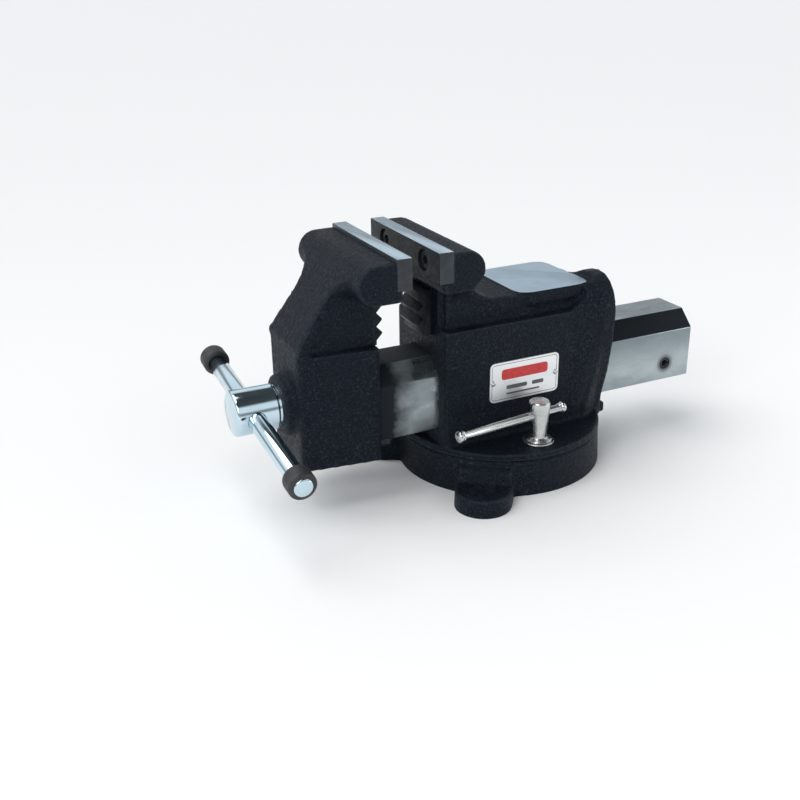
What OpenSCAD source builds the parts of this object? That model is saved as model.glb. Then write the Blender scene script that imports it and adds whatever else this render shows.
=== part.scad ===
// Bench vise: 100 mm jaws, pipe jaws under them, an anvil and a swivel base with two locks.
// The origin is on the swivel axis at the underside of the base. +X runs back along the
// slide, +Y is the side away from the rating plate and +Z is up.

/* [Jaws] */
// Width of both jaws and of their plates
jaw_w = 100; // [96:1:106]
// Height of a jaw plate
plate_h = 20; // [18:1:20]
// Thickness of a jaw plate
plate_t = 10; // [9:0.5:10]
// Height of the jaws' top above the bench
jaw_top = 168.5; // [168:0.5:172]
// Front face of the fixed jaw plate
fixed_face = -74; // [-75:0.5:-74]
// Opening between the jaw plates as drawn
opening = 18; // [4:1:40]
// Distance of each plate screw from the middle
screw_y = 28; // [24:1:32]
// Half width of a pipe jaw
pipe_half = 14.5; // [12:0.5:16]
// Distance from one pipe jaw tooth to the next
tooth_pitch = 9.2; // [8:0.1:9.5]

/* [Slide] */
// Half width of the slide bar
bar_half = 25.2; // [25:0.1:25.4]
// Underside of the slide bar
bar_bottom = 40.2; // [40:0.1:41]
// Top of the slide bar
bar_top = 88.9; // [88:0.1:90]
// Length of the slide bar
bar_len = 296; // [280:1:310]
// Gap between the slide bar and the casting that guides it
guide_gap = 0.3; // [0.2:0.05:0.5]

/* [Spindle] */
// Height of the spindle axis
spindle_z = 68.5; // [68:0.1:69]
// Radius of the spindle's screw
spindle_r = 9; // [8:0.1:9]
// Radius of the spindle's head
head_r = 15; // [14:0.1:15.5]
// Length of the spindle's head
head_len = 28; // [27:0.5:30]
// Radial clearance of the turning fits
fit_gap = 0.05; // [0.03:0.01:0.08]

/* [Handle] */
// Radius of the handle bar
handle_r = 6; // [5.5:0.1:6.2]
// Length of the handle bar
handle_len = 175; // [170:0.5:190]
// Slope of the handle as drawn
handle_tilt = 7; // [0:1:20]
// How far the handle has slid towards the near side
handle_shift = 6.4; // [0:0.2:10]
// Outer radius of a handle ring
ring_r = 9; // [8.5:0.5:11]
// Length of a handle ring
ring_len = 12.5; // [12:0.5:16]

/* [Fixed body] */
// Half width of the lower body
body_half = 36; // [35.5:0.5:38]
// Front face of the lower body
body_front = -61.5; // [-62:0.5:-61.5]
// Rear face of the body
body_rear = 68; // [66:1:70]
// Top of the lower body
body_top = 110.5; // [108:0.5:111]
// Top of the anvil
anvil_top = 126.8; // [125:0.2:128]
// Half width of the anvil
anvil_half = 30; // [28:0.5:31]

/* [Base] */
// Radius of the base at the bench
base_r = 72; // [72:0.5:74]
// Height of the base
base_h = 24.5; // [24.5:0.1:24.6]
// Radius of the swivel plate
turn_r = 71; // [70:0.5:71]
// Distance of the lug holes from the swivel axis
lug_ring = 84; // [83:0.5:86]
// Thickness of a lug
lug_h = 12; // [11:0.5:13]
// Radius of the bolt hole in a lug
lug_hole_r = 6.5; // [5:0.25:7]

/* [Swivel lock] */
// Distance of each lock screw from the middle plane
lock_y = 54; // [53:0.5:54]
// Top of the lock screw's post
lock_top = 59.5; // [58:0.5:61]
// Radius of the lock screw's post at its foot
post_r = 5.6; // [5:0.1:6]
// Radius of the lock screw's post at its top
post_top_r = 7.2; // [6:0.1:7.5]
// Radius of the lock bar
lock_bar_r = 2.8; // [2.4:0.1:3]
// Length of the lock bar
lock_bar_len = 88; // [84:1:92]
// Angle of the lock bar as drawn
lock_angle = 6.5; // [4:0.5:8]
// How far the lock bar has slid forward
lock_shift = 22.5; // [18:0.5:24]

/* [Rating plate] */
// Length of the rating plate
label_len = 53.5; // [50:0.5:56]
// Height of the rating plate
label_h = 28; // [26:0.5:30]
// Thickness of the rating plate
label_t = 0.8; // [0.6:0.1:1.2]

/* [Hidden] */
$fn = 64;
eps = 0.01;
moving_face = fixed_face - opening;
fixed_back = fixed_face + plate_t;
moving_back = moving_face - plate_t;
plate_foot = jaw_top - plate_h;
plate_mid = jaw_top - plate_h / 2 + 0.5;
pipe_back = body_front;
pipe_back_moving = moving_back - 3.5;
pipe_low = 103;
pipe_high = 134;
tooth_depth = 4.3;
pipe_t = 5.2;
first_valley = 106.2;
block_front = moving_back - 56.7;
block_front_half = 26.3;
block_rear_half = 33;
block_low = 30;
block_high = 107.5;
web_half = 23;
front_wall = 10.7;
boss_r = 20;
boss_t = 6.5;
bar_front = block_front + front_wall;
bar_rear = bar_front + bar_len;
bar_cap = 13.3;
bar_chamfer = 11.3;
channel_half = 15;
channel_top = 83;
head_rear = block_front - boss_t - 2.3;
head_front = head_rear - head_len;
spindle_rear = bar_rear - 33;
handle_x = head_front + 12.5;
collar_r = 13;
collar_t = 8;
nut_front = -50;
nut_rear = -15;
nut_r = 14;
foot_half = 10;
bolt_x = (nut_front + nut_rear) / 2;
stop_x = bar_rear - 22;
stop_z = 52.7;
stop_r = 4;
turn_low = base_h + 0.3;
turn_high = turn_low + 5.4;
pivot_r = 10;
anvil_front = -3;
anvil_rear = 51;
slot_in = 48.7;
slot_out = 59.3;
tee_in = 46;
tee_out = 62;
tee_low = 5.5;
tee_high = 14;
lug_angles = [-127, 152, 53];
lug_end = 19;
lock_x = -1;
lock_bar_z = 50;
knob_r = 4;
knob_len = 5;
label_x = -2.3;
label_z = 70;
rivet_gap = 24.3;
casting = "#20242a";
steel = "#8f979e";
chrome = "#c8ccd0";
nickel = "#b4b6b4";
dark_steel = "#4a4e52";

// Points of an arc about a centre, from one angle to another.
function arc(centre, radius, from, to, steps = 8) =
    [for (i = [0:steps]) let (a = from + (to - from) * i / steps)
        [centre[0] + radius * cos(a), centre[1] + radius * sin(a)]];

// An XZ outline pushed out to both sides of the middle plane.
module along_y(half) {
    rotate([90, 0, 0])
        linear_extrude(2 * half, center = true)
            children();
}

// A YZ outline pushed along X from one place to another.
module along_x(from, to) {
    translate([from, 0, 0])
        rotate([90, 0, 90])
            linear_extrude(to - from)
                children();
}

// A cylinder along X.
module rod_x(from, to, radius) {
    translate([from, 0, spindle_z])
        rotate([0, 90, 0])
            cylinder(r = radius, h = to - from);
}

// A rectangle with round corners, drawn about its centre.
module round_rect(length, width, radius) {
    square([length - 2 * radius, width], center = true);
    square([length, width - 2 * radius], center = true);
    for (x = [-1, 1], y = [-1, 1])
        translate([x * (length / 2 - radius), y * (width / 2 - radius)])
            circle(radius);
}

// ---- Base ----

module lug(angle) {
    rotate(angle) {
        linear_extrude(lug_h) {
            translate([lug_ring, 0])
                circle(lug_end);
            translate([tee_out, -lug_end])
                square([lug_ring - tee_out, 2 * lug_end]);
        }
        along_y(lug_end - 2)
            polygon([[tee_out, 0], [lug_ring - 6, 0], [lug_ring - 6, lug_h],
                     [base_r + 2.5, base_h - 2.5], [base_r - 2, base_h], [tee_out, base_h]]);
    }
}

module base() {
    color(casting) difference() {
        union() {
            cylinder(r1 = base_r, r2 = base_r - 1, h = base_h, $fn = 128);
            for (angle = lug_angles)
                lug(angle);
        }
        rotate_extrude($fn = 128)
            polygon([[tee_in, tee_low], [tee_out, tee_low], [tee_out, tee_high],
                     [slot_out, tee_high], [slot_out, base_h + 1], [slot_in, base_h + 1],
                     [slot_in, tee_high], [tee_in, tee_high]]);
        rotate(90)
            translate([tee_in, -9, tee_high - 1])
                cube([tee_out - tee_in, 18, base_h]);
        translate([0, 0, 8])
            cylinder(r = pivot_r, h = base_h);
        for (angle = lug_angles)
            rotate(angle) translate([lug_ring, 0, 0]) {
                translate([0, 0, -1])
                    cylinder(r = lug_hole_r, h = base_h + 2);
                translate([0, 0, lug_h])
                    cylinder(r = 12, h = base_h);
            }
    }
}

module pivot_pin() {
    color(steel) translate([0, 0, 8.5]) {
        cylinder(r = pivot_r - fit_gap, h = 26.5);
    }
}

// ---- Fixed jaw ----

// Section of the slide bar, grown by a gap where it guides the bar.
module bar_section(grow = 0) {
    side = bar_half + grow;
    cap = bar_cap + grow * 0.4;
    polygon([[-side, bar_bottom - grow], [side, bar_bottom - grow],
             [side, bar_top - bar_chamfer + grow * 0.4], [cap, bar_top + grow],
             [-cap, bar_top + grow], [-side, bar_top - bar_chamfer + grow * 0.4]]);
}

// Outline of the rear flange: narrow at the foot, with a round shoulder that stands above the
// anvil on the near side and falls away to a lower shoulder on the far side.
module flange_outline() {
    side = [[28.5, turn_low], [30, 42], [35.5, 62], [39, 84]];
    near_crown = [[-40, 104], [-39.5, 112], [-36.5, 120], [-31, 126.2], [-25, 129.6],
                  [-18, 130.8], [-10, 129.4], [-2, 125.6], [7, 121.5], [16, 119.5]];
    far_crown = arc([26, 105.5], 14, 0, 88, 10);
    far_side = concat(side, far_crown);
    last = len(far_side) - 1;
    polygon(concat([for (point = side) [-point[0], point[1]]], near_crown,
                   [for (i = [0:last]) far_side[last - i]]));
}

// Side profile of the head of the fixed jaw, with the ledge under its plate.
module fixed_head_outline() {
    polygon(concat(
        [[fixed_back, plate_foot], [fixed_face + 3.5, plate_foot], [fixed_face + 4.5, 141.2],
         [-49.5, 141.2]],
        arc([-53.2, 154], 12.4, -10, 86),
        [[fixed_back, jaw_top - 1.5]]));
}

// Side profile of the neck and of the saddle that runs down to the anvil.
module neck_outline() {
    polygon(concat(
        [[body_front, body_top - 1], [body_front, 146], [-45, 146]],
        arc([-16, 155.5], 30, 198, 262),
        [[anvil_rear - 4, anvil_top - 1.5], [anvil_rear - 4, body_top - 1]]));
}

module plate_screw_holes(back, way) {
    for (y = [-screw_y, screw_y])
        translate([back - way * eps, y, plate_mid])
            rotate([0, way * 90, 0])
                cylinder(r = 4.1, h = 16);
}

module fixed_jaw_body() {
    color(casting) difference() {
        union() {
            translate([0, 0, turn_low])
                cylinder(r = turn_r, h = turn_high - turn_low, $fn = 128);
            translate([body_front, -body_half, turn_low])
                cube([body_rear - 10 - body_front, 2 * body_half, body_top - turn_low]);
            along_x(body_rear - 18, body_rear)
                flange_outline();
            along_y(28)
                neck_outline();
            along_y(jaw_w / 2)
                fixed_head_outline();
            translate([(anvil_front + anvil_rear) / 2, 0, body_top])
                linear_extrude(anvil_top - body_top)
                    round_rect(anvil_rear - anvil_front, 2 * anvil_half, 10);
            translate([body_rear - 8, -26, turn_low])
                cube([14, 52, 8]);
        }
        along_x(body_front - 1, body_rear + 8)
            bar_section(guide_gap);
        translate([0, 0, turn_low - 1])
            cylinder(r = pivot_r, h = 11.5);
        translate([bolt_x, 0, turn_low - 1]) {
            cylinder(r = 7, h = 9);
            cylinder(r = 4.2, h = 20);
        }
        for (y = [-lock_y, lock_y])
            translate([lock_x, y, turn_low - 1])
                cylinder(r = 5.4, h = 8);
        for (x = [-rivet_gap, rivet_gap])
            translate([label_x + x, 1 - body_half, label_z])
                rotate([90, 0, 0])
                    translate([0, 0, -6])
                        cylinder(r = 1.25, h = 8);
        plate_screw_holes(fixed_back, 1);
    }
}

module jaw_plate(face, way) {
    color(steel) difference() {
        translate([min(face, face + way * plate_t), -jaw_w / 2, plate_foot])
            cube([plate_t, jaw_w, plate_h]);
        for (y = [-screw_y, screw_y])
            translate([face, y, plate_mid])
                rotate([0, way * 90, 0]) {
                    translate([0, 0, -1])
                        cylinder(r = 7, h = 7.5);
                    cylinder(r = 4.2, h = plate_t + 1);
                }
    }
}

// The two socket head screws of a jaw plate, sunk below its face.
module plate_screws(face, way) {
    color(dark_steel)
        for (y = [-screw_y, screw_y])
            translate([face, y, plate_mid])
                rotate([0, way * 90, 0])
                    difference() {
                        union() {
                            translate([0, 0, 1.5])
                                cylinder(r = 6.5, h = 5);
                            translate([0, 0, 6])
                                cylinder(r = 4, h = 18);
                        }
                        translate([0, 0, 1])
                            cylinder(r = 3.4, h = 3.5, $fn = 6);
                    }
}

// A pipe jaw: a block whose front is cut into level vee teeth.
module pipe_jaw(back, way) {
    teeth = floor((pipe_high - first_valley) / tooth_pitch);
    root = back + way * pipe_t;
    tip = root + way * tooth_depth;
    color(dark_steel) along_y(pipe_half)
        polygon(concat(
            [[back, pipe_low], [root, pipe_low], [root, first_valley]],
            [for (i = [0:teeth - 1], half = [1, 2])
                [half == 1 ? tip : root, first_valley + tooth_pitch * (i + half / 2)]],
            [[root, pipe_high], [back, pipe_high]]));
}

module fixed_jaw_plate() {
    jaw_plate(fixed_face, 1);
}

module fixed_plate_screws() {
    plate_screws(fixed_face, 1);
}

module fixed_pipe_jaw() {
    pipe_jaw(pipe_back, -1);
}

module spindle_nut() {
    color("#9a7a45") difference() {
        union() {
            rod_x(nut_front, nut_rear, nut_r);
            translate([nut_front, -foot_half, bar_bottom - guide_gap])
                cube([nut_rear - nut_front, 2 * foot_half, spindle_z - bar_bottom]);
        }
        rod_x(nut_front - 1, nut_rear + 1, spindle_r + fit_gap);
        translate([bolt_x, 0, bar_bottom - 1])
            cylinder(r = 4.1, h = 15);
    }
}

module nut_bolt() {
    color(dark_steel) translate([bolt_x, 0, 0]) {
        translate([0, 0, turn_low + 1.5])
            cylinder(r = 6.5, h = 6.5);
        translate([0, 0, turn_low + 7.5])
            cylinder(r = 4, h = 19);
    }
}

module rating_plate() {
    color("#d8dadc") translate([label_x, -body_half, label_z])
        rotate([90, 0, 0])
            difference() {
                linear_extrude(label_t)
                    round_rect(label_len, label_h, 4);
                for (x = [-rivet_gap, rivet_gap])
                    translate([x, 0, -1])
                        cylinder(r = 1.25, h = 3);
            }
}

module plate_rivets() {
    color(chrome)
        for (x = [-rivet_gap, rivet_gap])
            translate([label_x + x, -body_half, label_z])
                rotate([90, 0, 0]) {
                    translate([0, 0, -4])
                        cylinder(r = 1.2, h = 5);
                    translate([0, 0, label_t])
                        cylinder(r1 = 1.9, r2 = 1.1, h = 0.7);
                }
}

// ---- Movable jaw ----

// Side profile of the head of the movable jaw, round at the back.
module moving_head_outline() {
    polygon(concat(
        [[moving_back, plate_foot], [moving_back + 4.5, plate_foot], [moving_back + 3.5, 141],
         [moving_back - 16, 141]],
        arc([moving_back - 13, 153.8], 12.4, 240, 94),
        [[moving_back, jaw_top - 2.3]]));
}

// Side profile of the neck, whose front slopes back up to the head.
module moving_neck_outline() {
    polygon([[block_front, block_high - 1], [block_front, 112.5], [moving_back - 25, 155],
             [moving_back - 14, 150], [pipe_back_moving, 150], [pipe_back_moving, block_high - 1]]);
}

// One side wing that widens the neck into the full width of the head.
module moving_wing(side) {
    hull() {
        translate([moving_back - 16, side * (jaw_w / 2 - 4), 145])
            rotate([90, 0, 0])
                cylinder(r = 3, h = 8, center = true, $fn = 24);
        translate([pipe_back_moving - 14, side * (web_half - 2), 122])
            cube([20, 2, 20]);
    }
}

module movable_jaw() {
    color(casting) difference() {
        union() {
            translate([0, 0, block_low])
                linear_extrude(block_high - block_low)
                    polygon([[block_front, -block_front_half], [pipe_back_moving, -block_rear_half],
                             [pipe_back_moving, block_rear_half], [block_front, block_front_half]]);
            along_y(web_half)
                moving_neck_outline();
            along_y(jaw_w / 2)
                moving_head_outline();
            rod_x(block_front - boss_t, block_front + 1, boss_r);
            for (side = [-1, 1])
                moving_wing(side);
        }
        along_x(bar_front, pipe_back_moving + 1)
            bar_section(eps);
        rod_x(block_front - boss_t - 1, bar_front + 1, spindle_r + fit_gap);
        plate_screw_holes(moving_back, -1);
    }
}

module slide_bar() {
    color(steel) difference() {
        along_x(bar_front, bar_rear)
            bar_section();
        translate([bar_front - 1, -channel_half, bar_bottom - 1])
            cube([bar_len + 2, 2 * channel_half, channel_top - bar_bottom + 1]);
        translate([stop_x, 0, stop_z])
            rotate([90, 0, 0])
                cylinder(r = stop_r, h = 2 * bar_half + 2, center = true);
    }
}

module movable_jaw_plate() {
    jaw_plate(moving_face, -1);
}

module movable_plate_screws() {
    plate_screws(moving_face, -1);
}

module movable_pipe_jaw() {
    pipe_jaw(pipe_back_moving, 1);
}

module slide_stop_pin() {
    color(dark_steel) translate([stop_x, 0, stop_z])
        rotate([90, 0, 0])
            difference() {
                cylinder(r = stop_r - 0.01, h = 2 * bar_half - 0.4, center = true);
                cylinder(r = stop_r - 1.4, h = 2 * bar_half, center = true);
            }
}

// ---- Spindle and handle ----

// A cylinder across the spindle's head along the handle, from one place to another.
module along_handle(from, to, radius) {
    translate([handle_x, 0, spindle_z])
        rotate([handle_tilt, 0, 0])
            translate([0, from, 0])
                rotate([-90, 0, 0])
                    cylinder(r = radius, h = to - from);
}

module spindle() {
    length = spindle_rear - head_front;
    color(chrome) difference() {
        translate([head_front, 0, spindle_z])
            rotate([0, 90, 0])
                rotate_extrude()
                    polygon([[0, 0], [head_r - 1.5, 0], [head_r, 1.5], [head_r, head_len - 1],
                             [head_r - 1, head_len], [spindle_r, head_len],
                             [spindle_r, length - 2], [spindle_r - 2, length], [0, length]]);
        along_handle(-head_r - 1, head_r + 1, handle_r + fit_gap);
        translate([bar_front + 0.5 + collar_t / 2, 0, spindle_z])
            cylinder(r = 2, h = 3 * spindle_r, center = true);
    }
}

module thrust_washer() {
    color(chrome) difference() {
        rod_x(head_rear + 0.1, block_front - boss_t - 0.1, head_r - 0.5);
        rod_x(head_rear - 1, block_front, spindle_r + fit_gap);
    }
}

module spindle_collar() {
    color(dark_steel) difference() {
        rod_x(bar_front + 0.5, bar_front + 0.5 + collar_t, collar_r);
        rod_x(bar_front, bar_front + 1 + collar_t, spindle_r + eps);
        translate([bar_front + 0.5 + collar_t / 2, 0, spindle_z])
            cylinder(r = 2, h = 3 * collar_r, center = true);
    }
}

module collar_pin() {
    color(steel) translate([bar_front + 0.5 + collar_t / 2, 0, spindle_z])
        cylinder(r = 1.98, h = 2 * collar_r - 1, center = true);
}

module handle_bar() {
    color(chrome) along_handle(-handle_len / 2 - handle_shift, handle_len / 2 - handle_shift, handle_r);
}

// A rubber ring pressed over one end of the handle bar.
module handle_ring(side) {
    outer = side * (handle_len / 2 - 1) - handle_shift;
    inner = outer - side * ring_len;
    low = min(outer, inner);
    color("#17181a") difference() {
        along_handle(low, low + ring_len, ring_r);
        along_handle(low - 1, low + ring_len + 1, handle_r + eps);
    }
}

module handle_ring_near() {
    handle_ring(-1);
}

module handle_ring_far() {
    handle_ring(1);
}

// ---- Swivel locks: each is drawn on the near side, and the far one is its mirror image ----

module slot_nut_near() {
    color(dark_steel) translate([lock_x, -lock_y, 0])
        difference() {
            translate([-8, -7, tee_low + 0.4])
                cube([16, 14, tee_high - tee_low - 0.8]);
            translate([0, 0, tee_low - 1])
                cylinder(r = 5.05, h = 12);
        }
}

module lock_screw_near() {
    color(nickel) translate([lock_x, -lock_y, 0])
        difference() {
            union() {
                translate([0, 0, tee_low + 0.6])
                    cylinder(r = 5, h = turn_high);
                translate([0, 0, turn_high + 1.4])
                    cylinder(r = 9.2, h = 1.3);
                translate([0, 0, turn_high + 2])
                    cylinder(r1 = post_r, r2 = post_top_r, h = lock_top - turn_high - 2.8);
                translate([0, 0, lock_top - 0.8])
                    cylinder(r1 = post_top_r, r2 = post_top_r - 0.8, h = 0.8);
            }
            translate([0, 0, lock_bar_z])
                rotate([0, 90, lock_angle])
                    cylinder(r = lock_bar_r + fit_gap, h = 3 * post_top_r, center = true);
        }
}

module lock_washer_near() {
    color(nickel) translate([lock_x, -lock_y, turn_high + 0.1])
        difference() {
            cylinder(r = 10.8, h = 1.2);
            translate([0, 0, -1])
                cylinder(r = 5.05, h = 4);
        }
}

module lock_bar_near() {
    half = lock_bar_len / 2;
    color(nickel) translate([lock_x, -lock_y, lock_bar_z])
        rotate([0, 90, lock_angle])
            translate([0, 0, -lock_shift])
                rotate_extrude()
                    polygon([[0, -half], [knob_r - 1, -half], [knob_r, 1 - half],
                             [knob_r, knob_len - 1 - half], [lock_bar_r, knob_len - half],
                             [lock_bar_r, half - knob_len], [knob_r, half - knob_len + 1],
                             [knob_r, half - 1], [knob_r - 1, half], [0, half]]);
}

module slot_nut_far() {
    mirror([0, 1, 0])
        slot_nut_near();
}

module lock_screw_far() {
    mirror([0, 1, 0])
        lock_screw_near();
}

module lock_washer_far() {
    mirror([0, 1, 0])
        lock_washer_near();
}

module lock_bar_far() {
    mirror([0, 1, 0])
        lock_bar_near();
}

base();
pivot_pin();
fixed_jaw_body();
fixed_jaw_plate();
fixed_plate_screws();
fixed_pipe_jaw();
spindle_nut();
nut_bolt();
rating_plate();
plate_rivets();
slot_nut_near();
slot_nut_far();
movable_jaw();
slide_bar();
movable_jaw_plate();
movable_plate_screws();
movable_pipe_jaw();
slide_stop_pin();
spindle();
thrust_washer();
spindle_collar();
collar_pin();
handle_bar();
handle_ring_near();
handle_ring_far();
lock_screw_near();
lock_washer_near();
lock_bar_near();
lock_screw_far();
lock_washer_far();
lock_bar_far();
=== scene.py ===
"""A bench vise with a swivel base, built over its CAD frame one piece at a time."""
from math import cos, pi, radians, sin

import bmesh
import bpy
from mathutils import Matrix, Vector


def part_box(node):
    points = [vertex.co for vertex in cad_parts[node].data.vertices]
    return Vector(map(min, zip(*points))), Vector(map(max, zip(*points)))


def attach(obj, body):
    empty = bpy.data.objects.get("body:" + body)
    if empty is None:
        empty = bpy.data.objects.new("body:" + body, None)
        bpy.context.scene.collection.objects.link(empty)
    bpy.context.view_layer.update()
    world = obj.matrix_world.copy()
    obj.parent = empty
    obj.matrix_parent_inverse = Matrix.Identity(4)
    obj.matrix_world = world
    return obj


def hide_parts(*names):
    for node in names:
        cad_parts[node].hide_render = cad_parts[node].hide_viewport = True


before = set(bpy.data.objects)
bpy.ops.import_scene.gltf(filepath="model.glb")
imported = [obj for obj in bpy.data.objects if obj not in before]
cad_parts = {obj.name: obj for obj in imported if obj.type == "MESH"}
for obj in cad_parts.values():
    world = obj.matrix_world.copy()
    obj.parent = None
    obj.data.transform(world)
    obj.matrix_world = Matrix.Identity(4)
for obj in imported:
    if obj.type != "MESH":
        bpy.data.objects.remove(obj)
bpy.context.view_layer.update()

# ---------------------------------------------------------------------------------------------
# Floor, lights and camera. The vise stands on a plain pale floor under soft studio lights,
# and the camera looks down on the near side from a little in front.

deck = bmesh.new()
bmesh.ops.create_grid(deck, x_segments=1, y_segments=1, size=30)
floor_mesh = bpy.data.meshes.new("floor")
deck.to_mesh(floor_mesh)
floor = bpy.data.objects.new("floor", floor_mesh)
bpy.context.collection.objects.link(floor)
floor_paint = bpy.data.materials.new("pale floor")
floor_paint.use_nodes = True
matt = floor_paint.node_tree.nodes["Principled BSDF"]
matt.inputs["Base Color"].default_value = (0.93, 0.93, 0.93, 1)
matt.inputs["Roughness"].default_value = 0.7
floor_mesh.materials.append(floor_paint)

# The studio has a bright band of wall and a dark ceiling for the bright metal to mirror.
sky = bpy.data.worlds.new("studio")
sky.use_nodes = True
air = sky.node_tree
aim = air.nodes.new("ShaderNodeTexCoord")
height = air.nodes.new("ShaderNodeSeparateXYZ")
walls = air.nodes.new("ShaderNodeValToRGB")
walls.color_ramp.elements[0].position = 0.0
walls.color_ramp.elements[0].color = (0.9, 0.95, 1, 1)
walls.color_ramp.elements[1].position = 1.0
walls.color_ramp.elements[1].color = (0.05, 0.055, 0.06, 1)
for level, tone in ((0.13, 0.3), (0.24, 0.35), (0.36, 1.0), (0.66, 1.0), (0.78, 0.08)):
    walls.color_ramp.elements.new(level).color = (0.93 * tone, 0.97 * tone, tone, 1)
air.links.new(aim.outputs["Generated"], height.inputs["Vector"])
air.links.new(height.outputs["Z"], walls.inputs["Fac"])
air.links.new(walls.outputs["Color"], air.nodes["Background"].inputs["Color"])
air.nodes["Background"].inputs["Strength"].default_value = 1.0
bpy.context.scene.world = sky
bpy.context.scene.view_settings.view_transform = "Standard"


def softbox(name, place, target, size, power):
    lamp = bpy.data.lights.new(name, "AREA")
    lamp.shape = "RECTANGLE"
    lamp.size, lamp.size_y = size
    lamp.energy = power
    holder = bpy.data.objects.new(name, lamp)
    holder.location = place
    holder.rotation_euler = (Vector(target) - Vector(place)).to_track_quat("-Z", "Y").to_euler()
    bpy.context.collection.objects.link(holder)


middle = (-0.03, 0, 0.09)
softbox("near softbox", (-0.95, -0.75, 0.75), middle, (0.6, 0.5), 4)
softbox("right softbox", (0.95, -0.45, 0.16), middle, (0.3, 0.25), 1.2)
daylight = bpy.data.lights.new("overhead light", "SUN")
daylight.energy = 1.7
daylight.angle = radians(50)
overhead = bpy.data.objects.new("overhead light", daylight)
overhead.rotation_euler = Vector((-0.35, 0.2, 0.9)).to_track_quat("Z", "Y").to_euler()
bpy.context.collection.objects.link(overhead)

viewer = bpy.data.cameras.new("camera")
viewer.sensor_width = 36
viewer.lens = 47.95
turn, rise, roll = radians(-25.59), radians(23.58), radians(-0.77)
back = Vector((sin(turn) * cos(rise), -cos(turn) * cos(rise), sin(rise)))
level = Vector((cos(turn), sin(turn), 0))
upright = back.cross(level)
right = level * cos(roll) + upright * sin(roll)
up = upright * cos(roll) - level * sin(roll)
camera_turn = Matrix((right, up, back)).transposed().to_4x4()
camera = bpy.data.objects.new("camera", viewer)
camera.matrix_world = Matrix.Translation((-0.3634, -0.5967, 0.3433)) @ camera_turn
bpy.context.collection.objects.link(camera)
bpy.context.scene.camera = camera

# ---------------------------------------------------------------------------------------------
# Base casting. Sand-cast iron disc that is bolted to the bench through three lugs, painted with
# the same dark hammer paint as the jaws. Its top face and the ring slot in it are turned bright.


def rectangle(left, right, bottom, top):
    """The outline of a rectangle."""
    return [(left, bottom), (right, bottom), (right, top), (left, top)]


def slab(bm, outline, axis, low, high, skin=0):
    """Pushes a flat outline along an axis, from one place to another, into a closed lump."""
    spot = {"x": lambda a, b: (low, a, b), "y": lambda a, b: (a, low, b), "z": lambda a, b: (a, b, low)}
    way = {"x": Vector((1, 0, 0)), "y": Vector((0, 1, 0)), "z": Vector((0, 0, 1))}[axis]
    corners = [bm.verts.new(spot[axis](*point)) for point in outline]
    sheet = bm.faces.new(corners)
    sheet.material_index = skin
    grown = bmesh.ops.extrude_face_region(bm, geom=[sheet], use_keep_orig=True)["geom"]
    far_corners = [g for g in grown if isinstance(g, bmesh.types.BMVert)]
    bmesh.ops.translate(bm, verts=far_corners, vec=way * (high - low))
    faces = [f for f in bm.faces if any(v in f.verts for v in corners)] + [
        g for g in grown if isinstance(g, bmesh.types.BMFace)]
    for face in faces:
        face.material_index = skin
    bmesh.ops.recalc_face_normals(bm, faces=list(set(faces)))


def rod(bm, start, end, radius, far_radius=None, sides=64, skin=0):
    """A round bar between two points."""
    start, end = Vector(start), Vector(end)
    line = end - start
    place = Matrix.Translation((start + end) / 2) @ line.to_track_quat("Z", "X").to_matrix().to_4x4()
    made = bmesh.ops.create_cone(bm, cap_ends=True, segments=sides, radius1=radius,
                                 radius2=radius if far_radius is None else far_radius,
                                 depth=line.length, matrix=place)
    for face in {f for v in made["verts"] for f in v.link_faces}:
        face.material_index = skin


def rounded(points, radius, steps=5):
    """An outline with each of its corners replaced by an arc."""
    result = []
    for i, corner in enumerate(points):
        here = Vector(corner)
        before = (Vector(points[i - 1]) - here).normalized()
        after = (Vector(points[(i + 1) % len(points)]) - here).normalized()
        for step in range(steps + 1):
            t = step / steps
            start, end = here + before * radius, here + after * radius
            result.append(start * (1 - t) ** 2 + here * 2 * t * (1 - t) + end * t ** 2)
    return result


def hull(bm, points):
    """Wraps a closed lump tightly round some points."""
    corners = [bm.verts.new(point) for point in points]
    made = bmesh.ops.convex_hull(bm, input=corners)
    spare = {v for v in made["geom_interior"] + made["geom_unused"] if isinstance(v, bmesh.types.BMVert)}
    bmesh.ops.delete(bm, geom=list(spare), context="VERTS")


def join(bm, lump, place):
    """Adds a separately made lump, put in its place."""
    lump.transform(place)
    spare = bpy.data.meshes.new("lump")
    lump.to_mesh(spare)
    lump.free()
    bm.from_mesh(spare)
    bpy.data.meshes.remove(spare)


def keep(name, bm, coats):
    """Turns finished geometry into an object with its materials."""
    mesh = bpy.data.meshes.new(name)
    bm.to_mesh(mesh)
    bm.free()
    for coat in coats:
        mesh.materials.append(coat)
    piece = bpy.data.objects.new(name, mesh)
    bpy.context.collection.objects.link(piece)
    return piece


def machine(rough, cuts, coats):
    """Takes each group of cuts out of a rough piece in turn, and gives the finished piece."""
    name = rough.name.removesuffix("_rough")
    scraps = [rough]
    for number, group in enumerate(cuts):
        cutter = keep(f"{name}_cutter_{number}", group, coats)
        pass_cut = rough.modifiers.new(f"Cut {number}", "BOOLEAN")
        pass_cut.operation = "DIFFERENCE"
        pass_cut.solver = "MANIFOLD"
        pass_cut.object = cutter
        scraps.append(cutter)
    bpy.context.view_layer.update()
    mesh = bpy.data.meshes.new_from_object(rough.evaluated_get(bpy.context.evaluated_depsgraph_get()))
    mesh.name = name
    mesh.shade_smooth()
    mesh.set_sharp_from_angle(angle=radians(32))
    piece = bpy.data.objects.new(name, mesh)
    bpy.context.collection.objects.link(piece)
    for scrap in scraps:
        bpy.data.objects.remove(scrap)
    return piece


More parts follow.
